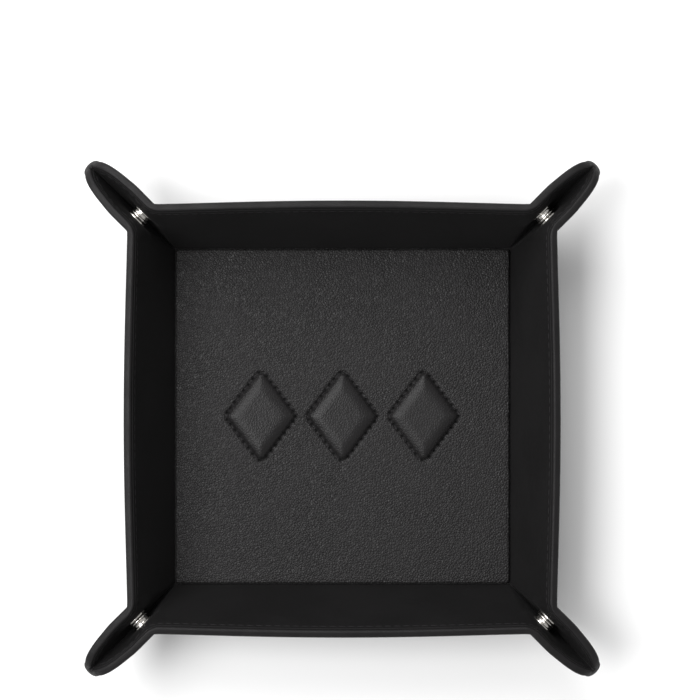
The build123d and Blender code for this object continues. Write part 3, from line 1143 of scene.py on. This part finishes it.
@dataclass(frozen=True)
class Wall:
    """One wall: its outer leather with the turned rim, its lining and its crease leather."""

    side: Side
    columns: int = 56
    crease_turns: int = 8
    crease_lap: float = 0.1
    board_depths: tuple[float, float] = (1.45, 2.55)
    board_margin: float = 2.2
    board_top: float = 46.0

    def across(self, share: float, y: float, depth: float) -> Vector:
        """Where a point of the wall lies, a share of the way along it."""
        return self.side.put(FOLDS.on_wall((2 * share - 1) * FOLDS.wall_half(y), y, depth))

    def place(self, share: float, station: Station) -> Vector:
        """Where a point of the wall's section lies, a share of the way along the wall."""
        low, high = FOLDS.foot.y, FOLDS.slant - station.inset
        return self.across(share, low + station.climb * (high - low), station.depth)

    def leather(self) -> bpy.types.Object:
        """The outer leather, turned over at the rim."""
        name = f"{self.side.name}_wall_leather"
        return wrap(f"{name}_skin", self.columns, LEATHER_SECTION.path(), self.place, OUTER_LEATHER)

    def lining(self) -> bpy.types.Object:
        """The lining, glued in below the rim."""
        name = f"{self.side.name}_wall_lining"
        return wrap(f"{name}_skin", self.columns, LINING_SECTION.path(), self.place, LINING_LEATHER)

    def place_board(self, share: float, station: Station) -> Vector:
        """Where a point of the stiffener's section lies, a share of the way along the wall."""
        y = self.board_margin + station.climb * (self.board_top - self.board_margin)
        return self.across(share, y, station.depth)

    def board(self) -> bpy.types.Object:
        """The stiffener between the leathers, bowed as they are.

        Returns:
            The piece's object.
        """
        name = f"{self.side.name}_wall_board"
        face, back = self.board_depths
        rows = LEATHER_SECTION.rises
        up = [Station(step / rows, 0, face) for step in range(rows + 1)]
        down = [Station(point.climb, 0, back) for point in reversed(up)]
        return wrap(f"{name}_bowed", self.columns, up + down + up[:1], self.place_board, PRESSED_BOARD)

    def crease(self) -> bpy.types.Object:
        """The leather that bends up from the floor to the wall.

        Returns:
            The piece's object.
        """
        side, level, rise = self.side, self.side.outwards, self.side.rise
        half, radius = FOLDS.pinch_x(0), FOLDS.thickness
        turns = [FOLDS.wall_angle * step / self.crease_turns for step in range(self.crease_turns + 1)]
        outline = [-level * self.crease_lap - UP * radius]
        outline += [level * (radius * sin(turn)) - UP * (radius * cos(turn)) for turn in turns]
        outline += [outline[-1] + rise * FOLDS.foot.y, rise * FOLDS.foot.y, -level * self.crease_lap]
        start = side.origin - side.aim(Vector((half, 0, 0)))
        bm = bmesh.new()
        face = bm.faces.new([bm.verts.new((start + point) * MM) for point in outline])
        bm.verts.layers.float.new("rim")
        grown = bmesh.ops.extrude_face_region(bm, geom=[face])["geom"]
        moved = [item for item in grown if isinstance(item, bmesh.types.BMVert)]
        bmesh.ops.translate(bm, verts=moved, vec=side.aim(Vector((2 * half, 0, 0))) * MM)
        return as_piece(bm, f"{side.name}_crease_skin", OUTER_LEATHER)

    def build(self) -> list[bpy.types.Object]:
        """Builds the wall's pieces and lets all of them but the crease leather ride on it.

        Returns:
            The pieces' objects.
        """
        name, body = self.side.name, f"{self.side.name}_wall"
        leather, lining, board, crease = self.leather(), self.lining(), self.board(), self.crease()
        stitching = RimStitching().sew_wall(self.side)
        for piece in (leather, lining, board, stitching):
            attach(piece, body)
        for piece, layer in ((leather, "leather"), (lining, "lining"), (board, "board")):
            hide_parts(f"{body}_{layer}")
        level, radius, angle = self.side.outwards, FOLDS.thickness, FOLDS.wall_angle
        end = self.side.origin + level * (radius * sin(angle)) - UP * (radius * cos(angle))
        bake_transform(crease)
        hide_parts(f"{name}_crease_leather")
        return [leather, lining, board, crease, stitching]


@dataclass(frozen=True)
class Ear:
    """One half of an ear: leather and lining that bend at the pinch crease and at the keel.

    The leathers run on to the fold in a narrow tongue. It lies inside the keel's bend while the
    ear is folded, and meets the other half's tongue when the tray lies flat.
    """

    side: Side
    hand: Hand
    column_counts: tuple[int, ...] = (10, 10, 12, 12, 2)
    keel_columns: int = 10
    keel_lean: float = radians(35)
    keel_kept: float = 0.05
    bend_zone: float = 3.4

    def place(self, share: float, station: Station) -> Vector:
        """Where a point of the section lies, from the cut on the wall to the fold.

        Args:
            share: a share of the piece's length.
            station: a point of the leather's section.

        Returns:
            The point, in metres in its place.
        """
        column = share * sum(self.column_counts)
        where = -1.0
        for count in self.column_counts:
            where += min(max(column / count, 0.0), 1.0)
            column -= count
        flat = FOLDS.corner_flat(where, station.climb, station.inset)
        return self.side.put(FOLDS.pressed(flat.x, flat.y, station.depth), self.hand)

    def place_keel(self, share: float, station: Station) -> Vector:
        """Where a point of the section lies in the keel's bend."""
        return self.side.put(FOLDS.keel(share, station.climb, station.inset, station.depth), self.hand)

    def build(self) -> list[bpy.types.Object]:
        """Builds the ear half's pieces and ties the keel's leather and lining to the ear half's own body.

        Returns:
            The pieces' objects.
        """
        ear, wall = self.side.ear(self.hand), f"{self.side.name}_wall"
        columns, outer, inner = sum(self.column_counts), LEATHER_SECTION.path(), LINING_SECTION.path()
        leather = wrap(f"{ear}_leather_skin", columns, outer, self.place, OUTER_LEATHER)
        lining = wrap(f"{ear}_lining_skin", columns, inner, self.place, LINING_LEATHER)
        stitching = RimStitching().sew_corner(self.side, self.hand)
        half = FOLDS.ear_angle / 2
        across = FOLDS.pinch_across * cos(half) - UP * sin(half)
        middle = FOLDS.pinch_foot + FOLDS.pinch_along * (FOLDS.slant / 2)
        start = self.side.put(middle - across * self.bend_zone, self.hand)
        end = self.side.put(middle + across * self.bend_zone, self.hand)
        for piece in (leather, lining, stitching):
            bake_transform(piece)
        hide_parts(f"{ear}_leather")
        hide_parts(f"{ear}_lining")
        columns = self.keel_columns
        keel = wrap(f"{ear}_keel_leather", columns, outer, self.place_keel, OUTER_LEATHER)
        inside = wrap(f"{ear}_keel_lining", columns, inner, self.place_keel, LINING_LEATHER)
        anchor = self.side.put(FOLDS.keel(share=0, climb=0.5, inset=0, depth=0), self.hand)
        lean = ACROSS_FOLD * cos(self.keel_lean) + UP * sin(self.keel_lean)
        axis = self.side.aim(FOLDS.ear_turn @ lean, self.hand)
        for piece in (keel, inside):
            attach(piece, ear)
            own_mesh(piece)
        if self.side.carries_cap:
            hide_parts(f"{self.side.corner(self.hand)}_ear_fold_leather")
        return [leather, lining, stitching, keel, inside]


@dataclass(frozen=True)
class Snap:
    """One half of a corner's press snap, turned from its profiles.

    A profile is a list of (radius, height), with heights along the snap's axis away from the
    other half: the outer disc's from the ear's outer face, the inner part's from its inner face.
    """

    side: Side
    hand: Hand
    steps: int = 48
    weld: float = 0.001
    cap: tuple[tuple[float, float], ...] = (
        (0, 1.55), (1.2, 1.53), (2.4, 1.45), (3.4, 1.3), (4.3, 1.05), (5.0, 0.72), (5.5, 0.36),
        (5.75, 0.18), (5.8, 0.02), (5.7, -0.12), (5.3, -0.2), (0, -0.2),
    )
    socket: tuple[tuple[float, float], ...] = (
        (1.9, 0), (5.1, 0), (5.34, -0.12), (5.42, -0.42), (5.34, -0.74), (5.1, -0.9), (4.75, -0.96),
        (4.5, -1.12), (4.42, -1.4), (4.42, -2.15), (4.5, -2.4), (4.8, -2.55), (5.05, -2.75),
        (5.15, -3.15), (5.1, -3.55), (4.85, -3.84), (4.4, -3.95), (3.2, -3.95), (2.85, -3.85),
        (2.7, -3.6), (2.7, -0.95), (1.9, -0.9),
    )
    post: tuple[tuple[float, float], ...] = (
        (0, 0.3), (1.5, 0.3), (1.8, 0.42), (1.95, 0.75), (2.2, 1.02), (2.6, 1.12), (3.4, 1.08),
        (4.3, 0.92), (4.9, 0.66), (5.15, 0.32), (5.2, 0.05), (5.1, -0.1), (0, -0.1),
    )
    stud: tuple[tuple[float, float], ...] = (
        (0, 0.1), (5.1, 0.1), (5.34, -0.05), (5.42, -0.45), (5.34, -0.85), (5.1, -1.0), (4.4, -1.06),
        (3.4, -1.06), (2.8, -1.2), (2.1, -1.3), (1.7, -1.5), (1.6, -1.8), (1.7, -2.1), (1.95, -2.35),
        (2.0, -2.65), (1.85, -2.95), (1.4, -3.12), (0, -3.15),
    )

    def turn(
        self, name: str, profile: Sequence[tuple[float, float]], lift: float, ring: bool
    ) -> bpy.types.Object:
        """Turns one part of the snap.

        Args:
            name: the node that it stands for.
            profile: its (radius, height) points.
            lift: how far along the axis its zero height lies from the seat.
            ring: whether the profile closes on itself, and not on the axis.

        Returns:
            The part's object.
        """
        bm = bmesh.new()
        verts = [bm.verts.new((radius * MM, 0, (height + lift) * MM)) for radius, height in profile]
        edges = [bm.edges.new(pair) for pair in zip(verts, verts[1:])]
        if ring:
            edges.append(bm.edges.new((verts[-1], verts[0])))
        bmesh.ops.spin(
            bm, geom=verts + edges, cent=(0, 0, 0), axis=UP, angle=2 * pi,
            steps=self.steps, use_merge=True,
        )
        bmesh.ops.remove_doubles(bm, verts=bm.verts, dist=self.weld * MM)
        aside = self.side.aim(FOLDS.aside, self.hand).to_track_quat("Z", "Y")
        place = Matrix.Translation(self.side.put(FOLDS.seat, self.hand)) @ aside.to_matrix().to_4x4()
        bmesh.ops.transform(bm, matrix=place, verts=bm.verts)
        piece = as_piece(bm, f"{name}_turned", NICKEL)
        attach(piece, self.side.ear(self.hand))
        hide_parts(name)
        return piece

    def build(self) -> list[bpy.types.Object]:
        """Builds the outer disc and the inner part of this half.

        Returns:
            The pieces' objects.
        """
        if self.side.carries_cap:
            parts = (("cap", self.cap), ("socket", self.socket))
        else:
            parts = (("post", self.post), ("stud", self.stud))
        corner = self.side.corner(self.hand)
        (outside, disc), (inside, lock) = parts
        return [
            self.turn(f"{corner}_snap_{outside}", disc, FOLDS.leaf_thickness, False),
            self.turn(f"{corner}_snap_{inside}", lock, 0.0, inside == "socket"),
        ]


@dataclass(frozen=True)
class FloorPanel:
    """The padded floor panel of grained leather, with a row of raised, stitched lozenges."""

    cells: int = 168
    corner_radius: float = 1.8
    edge_rounding: float = 1.7
    edge_ripple: float = 0.22
    lozenges: int = 3
    lozenge_half: tuple[float, float] = (18.0, 23.75)
    spacing: float = 40.5
    lozenge_rounding: float = 3.0
    puff: float = 2.5
    shoulder: float = 6.8
    groove: float = 0.8
    groove_width: float = 0.9
    stitch_pitch: float = 3.6
    stitch_length: float = 2.3
    stitch_radius: float = 0.26
    hole_depth: float = 1.25
    hole_width: float = 0.58
    hole_cover: float = 0.1
    # How strongly painted shade fills the needle holes.
    hole_painted_shade_strength: float = 1.4
    near_seam: float = 2.8
    seam_cuts: int = 2
    swell_fullness: float = 0.8
    pucker: float = 0.25
    pucker_grain: float = 0.9
    waves: tuple[tuple[float, float], ...] = ((0.06, 0.06), (0.03, 0.25))
    ripple_reach: float = 6.0
    ripple_grain: float = 0.11
    ripple_seed: float = 3.0
    # How taut the padding leaves the leather: it smooths the grain and sets the painted shade over the
    # lozenges.
    tautness: float = 0.65
    taut_reach: float = 2.0
    stitch_lift: float = 0.4
    fill: float = 0.8

    @cached_property
    def half(self) -> float:
        """Half of the panel's width."""
        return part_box("floor_panel")[1].x / MM

    @cached_property
    def levels(self) -> tuple[float, float]:
        """The heights of the panel's underside and of its top."""
        low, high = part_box("floor_panel")
        return low.z / MM, high.z / MM

    @cached_property
    def bed(self) -> float:
        """The height of the holes' bottoms, just over the padding."""
        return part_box("panel_padding")[1].z / MM + self.hole_cover

    def centres(self) -> list[float]:
        """Where the lozenges' middles stand along the row."""
        return [(number - (self.lozenges - 1) / 2) * self.spacing for number in range(self.lozenges)]

    def inside(self, x: float, y: float) -> float:
        """How far inside the nearest lozenge's outline a point lies; outside it is negative.

        Args:
            x: the point's place across the panel.
            y: its place along the panel's depth.

        Returns:
            The depth inside the outline.
        """
        wide, deep = self.lozenge_half
        shrink = 1 - self.lozenge_rounding * hypot(wide, deep) / (wide * deep)
        a, b = wide * shrink, deep * shrink
        depths = []
        for centre in self.centres():
            p, q = abs(x - centre), abs(y)
            share = ((a - 2 * p) * a - (b - 2 * q) * b) / (a * a + b * b)
            share = min(max(share, -1.0), 1.0)
            away = hypot(p - a / 2 * (1 - share), q - b / 2 * (1 + share))
            away = away if p * b + q * a > a * b else -away
            depths.append(self.lozenge_rounding - away)
        return max(depths)

    @cached_property
    def stitches_round(self) -> int:
        """How many stitches go round one lozenge."""
        return round(self.outline_length() / self.stitch_pitch)

    @cached_property
    def holes(self) -> kdtree.KDTree:
        """The needle's holes, at the ends of the stitches.

        Returns:
            The holes' places, on the panel's plane.
        """
        tree = kdtree.KDTree(self.lozenges * self.stitches_round)
        for centre in self.centres():
            for number in range(self.stitches_round):
                point = self.outline(number * self.outline_length() / self.stitches_round)
                tree.insert((point.x + centre, point.y, 0), number)
        tree.balance()
        return tree

    def hole(self, x: float, y: float) -> float:
        """How deep the nearest needle hole draws the leather in."""
        away = self.holes.find((x, y, 0))[2]
        return self.hole_depth * exp(-((away / self.hole_width) ** 2))

    def height(self, x: float, y: float) -> float:
        """The panel's surface over a point.

        Args:
            x: the point's place across the panel.
            y: its place along the panel's depth.

        Returns:
            The height above the ground.
        """
        top = self.levels[1]
        place = Vector((x, y, 0))
        depth = self.inside(x, y)
        hole = self.hole(x, y) if abs(depth) < self.near_seam else 0.0
        swell = (1 - (1 - min(max(depth / self.shoulder, 0.0), 1.0)) ** 2) ** self.swell_fullness
        seam = exp(-((depth / self.groove_width) ** 2))
        pucker = 1 - self.pucker + self.pucker * noise.noise(place * self.pucker_grain)
        soft = sum(size * noise.noise(place * grain) for size, grain in self.waves)
        edge = self.half - max(abs(x), abs(y))
        fall = max(self.edge_rounding - edge, 0.0)
        drop = self.edge_rounding - sqrt(max(self.edge_rounding**2 - fall**2, 0.0))
        surface = top + self.puff * swell - self.groove * seam * pucker - hole + soft - drop
        return max(surface, self.bed) if hole else surface

    def spread(self, x: float, y: float) -> Vector:
        """Where a point of the square grid lies, with the panel's round corners and soft edge.

        Args:
            x: the point's place across the panel.
            y: its place along the panel's depth.

        Returns:
            The point, on the panel's plane.
        """
        limit = self.half - self.corner_radius
        p, q = abs(x) - limit, abs(y) - limit
        if p > 0 and q > 0:
            scale = max(p, q) / hypot(p, q)
            x, y = copysign(limit + p * scale, x), copysign(limit + q * scale, y)
        edge = self.half - max(abs(x), abs(y))
        seed = Vector((x * self.ripple_grain, y * self.ripple_grain, self.ripple_seed))
        ripple = self.edge_ripple * smooth(1 - edge / self.ripple_reach) * noise.noise(seed)
        if abs(x) > abs(y):
            x += ripple
        else:
            y += ripple
        return Vector((x, y, 0))

    def leather(self) -> bpy.types.Object:
        """The panel's leather, which rises over the lozenges and is drawn in at their seams.

        Returns:
            The piece's object.
        """
        bm = bmesh.new()
        bmesh.ops.create_grid(bm, x_segments=self.cells, y_segments=self.cells, size=self.half)
        seam = [
            edge for edge in bm.edges
            if all(abs(self.inside(vert.co.x, vert.co.y)) < self.near_seam for vert in edge.verts)
        ]
        bmesh.ops.subdivide_edges(bm, edges=seam, cuts=self.seam_cuts, use_grid_fill=True)
        rims = [edge for edge in bm.edges if edge.is_boundary]
        taut_and_painted_shade = bm.verts.layers.float.new("taut_and_painted_shade")
        hole = bm.verts.layers.float.new("hole")
        for vert in bm.verts:
            x, y = vert.co.xy
            # The taut mask smooths the grain and carries painted shade over the lozenges.
            vert[taut_and_painted_shade] = self.tautness * smooth(self.inside(x, y) / self.taut_reach)
            # The hole mask paints shade into the needle holes and roughens them.
            vert[hole] = smooth(self.hole_painted_shade_strength * self.hole(x, y) / self.hole_depth)
            vert.co = self.spread(x, y) + UP * self.height(x, y)
        skirt = bmesh.ops.extrude_edge_only(bm, edges=rims)["geom"]
        for vert in (item for item in skirt if isinstance(item, bmesh.types.BMVert)):
            vert.co.z = self.levels[0]
        bmesh.ops.holes_fill(bm, edges=[edge for edge in bm.edges if edge.is_boundary], sides=0)
        bmesh.ops.scale(bm, vec=(MM, MM, MM), verts=bm.verts)
        return as_piece(bm, "floor_panel_leather", GRAINED_LEATHER)

    def outline(self, distance: float) -> Vector:
        """A point of a lozenge's outline, a distance round it from its right-hand corner.

        Args:
            distance: the distance round the outline.

        Returns:
            The point, from the lozenge's middle.
        """
        wide, deep = self.lozenge_half
        slope = atan2(wide, deep)
        quarter = self.outline_length() / 4
        bend, tip_bend = self.lozenge_rounding * (pi / 2 - slope), self.lozenge_rounding * slope
        number, rest = divmod(distance, quarter)
        if number % 2:
            rest = quarter - rest
        towards_tip = Vector((-wide, deep, 0)).normalized()
        normal = Vector((deep, wide, 0)).normalized()
        side_centre = Vector((wide - self.lozenge_rounding / normal.x, 0, 0))
        tip_centre = Vector((0, deep - self.lozenge_rounding / normal.y, 0))
        if rest < bend:
            turn = rest / self.lozenge_rounding
            point = side_centre + Vector((cos(turn), sin(turn), 0)) * self.lozenge_rounding
        elif rest < quarter - tip_bend:
            point = side_centre + normal * self.lozenge_rounding + towards_tip * (rest - bend)
        else:
            turn = (quarter - rest) / self.lozenge_rounding
            point = tip_centre + Vector((sin(turn), cos(turn), 0)) * self.lozenge_rounding
        flips = ((1, 1), (-1, 1), (-1, -1), (1, -1))[int(number) % 4]
        return Vector((point.x * flips[0], point.y * flips[1], 0))

    def outline_length(self) -> float:
        """The length of one lozenge's outline.

        Returns:
            The length.
        """
        wide, deep = self.lozenge_half
        slope = atan2(wide, deep)
        trims = self.lozenge_rounding * (tan(pi / 2 - slope) + tan(slope))
        return 4 * (hypot(wide, deep) - trims + self.lozenge_rounding * pi / 2)

    def stitching(self) -> bpy.types.Object:
        """The stitches in the groove round each lozenge.

        Returns:
            The piece's object.
        """
        bm = bmesh.new()
        length, count = self.outline_length(), self.stitches_round
        for centre in self.centres():
            for number in range(count):
                middle = (number + 0.5) * length / count
                seat = self.outline(middle)
                lift = self.height(seat.x + centre, seat.y) + self.stitch_radius * self.stitch_lift
                ends = []
                for distance in (middle - self.stitch_length / 2, middle + self.stitch_length / 2):
                    point = self.outline(distance % length)
                    ends.append(Vector((point.x + centre, point.y, lift)) * MM)
                sew(bm, *ends, self.stitch_radius * MM)
        return as_piece(bm, "lozenge_stitching", BLACK_THREAD)

    def build(self) -> list[bpy.types.Object]:
        """Builds the panel and its stitches on the floor.

        Returns:
            The pieces' objects.
        """
        leather, stitching = self.leather(), self.stitching()
        for piece in (leather, stitching):
            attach(piece, "floor")
        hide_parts("floor_panel", "raised_motif")
        return [leather, stitching]


@dataclass(frozen=True)
class Base:
    """The base's flat leathers, which are the frame's own, and the knuckles at its corners."""

    knuckle_cover: float = 0.4
    segments: int = 32

    def knuckle(self, side: Side) -> bpy.types.Object:
        """The round of leather under a corner, where both floor creases meet the ear's keel.

        Args:
            side: the side at whose right hand the corner is.

        Returns:
            The piece's object.
        """
        corner = side.origin + side.aim(Vector((FOLDS.half_floor, 0, 0)))
        bm = bmesh.new()
        place = Matrix.Translation(corner * MM)
        bmesh.ops.create_uvsphere(
            bm, u_segments=self.segments, v_segments=self.segments // 2,
            radius=FOLDS.thickness * MM, matrix=place,
        )
        cut = corner - UP * self.knuckle_cover
        geometry = bm.verts[:] + bm.edges[:] + bm.faces[:]
        bmesh.ops.bisect_plane(bm, geom=geometry, plane_co=cut * MM, plane_no=UP, clear_outer=True)
        bmesh.ops.holes_fill(bm, edges=[edge for edge in bm.edges if edge.is_boundary], sides=0)
        piece = as_piece(bm, f"{side.name}_{side.neighbour(Hand.RIGHT)}_knuckle", OUTER_LEATHER)
        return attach(piece, "floor")

    def build(self) -> list[bpy.types.Object]:
        """Dresses the frame's own nodes and adds the knuckles.

        Returns:
            The knuckles' objects.
        """
        finishes = {
            "base_leather": OUTER_LEATHER, "base_lining": LINING_LEATHER,
            "base_board": PRESSED_BOARD, "panel_padding": DENSE_FOAM,
        }
        for name, finish in finishes.items():
            node = frame["nodes"][name]
            node.data.materials.clear()
            node.data.materials.append(finish.material())
        return [self.knuckle(side) for side in SIDES]


@dataclass(frozen=True)
class Studio:
    """The pale floor, the soft light from the upper left and the camera above the tray."""

    camera_place: tuple[float, float] = (3.75, 33.0)
    camera_height: float = 1100.0
    view_width: float = 350.0
    sensor: float = 36.0
    clip: tuple[float, float] = (0.01, 20.0)
    floor_size: float = 6.0
    floor_shade: float = 0.9
    floor_roughness: float = 0.9
    floor_specular: float = 0.1
    sky_strength: float = 0.53
    light_distance: float = 1.5
    lights: tuple[tuple[str, float, float, float, float], ...] = (
        ("left", 180, 62, 0.8, 16.9),
        ("back", 110, 45, 0.9, 14.1),
    )

    def floor(self) -> None:
        """A wide, plain white floor."""
        bm = bmesh.new()
        bmesh.ops.create_grid(bm, x_segments=1, y_segments=1, size=self.floor_size / 2)
        material = bpy.data.materials.new("studio_white")
        material.use_nodes = True
        shader = material.node_tree.nodes["Principled BSDF"]
        shader.inputs["Base Color"].default_value = (*[self.floor_shade] * 3, 1)
        shader.inputs["Roughness"].default_value = self.floor_roughness
        shader.inputs["Specular IOR Level"].default_value = self.floor_specular
        as_object(bm, "studio_floor", material)

    def light(self, name: str, azimuth: float, rise: float, size: float, power: float) -> None:
        """Adds a square area light that is aimed at the tray.

        Args:
            name: what the light is called.
            azimuth: its direction round the tray in degrees, from the right and to the left.
            rise: its height above the horizon in degrees.
            size: its width in metres.
            power: its power in watts.
        """
        turn, lift = radians(azimuth), radians(rise)
        place = Vector((cos(turn) * cos(lift), sin(turn) * cos(lift), sin(lift))) * self.light_distance
        data = bpy.data.lights.new(name, "AREA")
        data.shape, data.size, data.energy = "SQUARE", size, power
        lamp = add_object(name, data)
        lamp.location = place
        lamp.rotation_euler = (-place).to_track_quat("-Z", "Y").to_euler()

    def camera(self) -> None:
        """The camera, straight above, its axis beside the tray's middle."""
        data = bpy.data.cameras.new("above")
        data.sensor_width = self.sensor
        data.lens = self.sensor * self.camera_height / self.view_width
        data.clip_start, data.clip_end = self.clip
        camera = add_object("above", data)
        camera.location = Vector((*self.camera_place, self.camera_height)) * MM
        bpy.context.scene.camera = camera

    def build(self) -> None:
        """Builds the whole studio."""
        scene = bpy.context.scene
        scene.view_settings.view_transform = "Standard"
        world = bpy.data.worlds.new("studio")
        world.use_nodes = True
        sky = world.node_tree.nodes["Background"]
        sky.inputs["Color"].default_value = (1, 1, 1, 1)
        sky.inputs["Strength"].default_value = self.sky_strength
        scene.world = world
        self.floor()
        for light in self.lights:
            self.light(*light)
        self.camera()


def main() -> None:
    """Builds the tray and its studio, and reports each piece."""
    logging.basicConfig(level=logging.INFO, format="%(name)s: %(message)s")
    Studio().build()
    assemblies: list[Any] = [Base(), FloorPanel()]
    for side in SIDES:
        assemblies.append(Wall(side))
        for hand in Hand:
            assemblies += [Ear(side, hand), Snap(side, hand)]
    for assembly in assemblies:
        for piece in assembly.build():
            log.info("%s: %d faces", piece.name, len(piece.data.polygons))


if __name__ == "__main__":
    main()
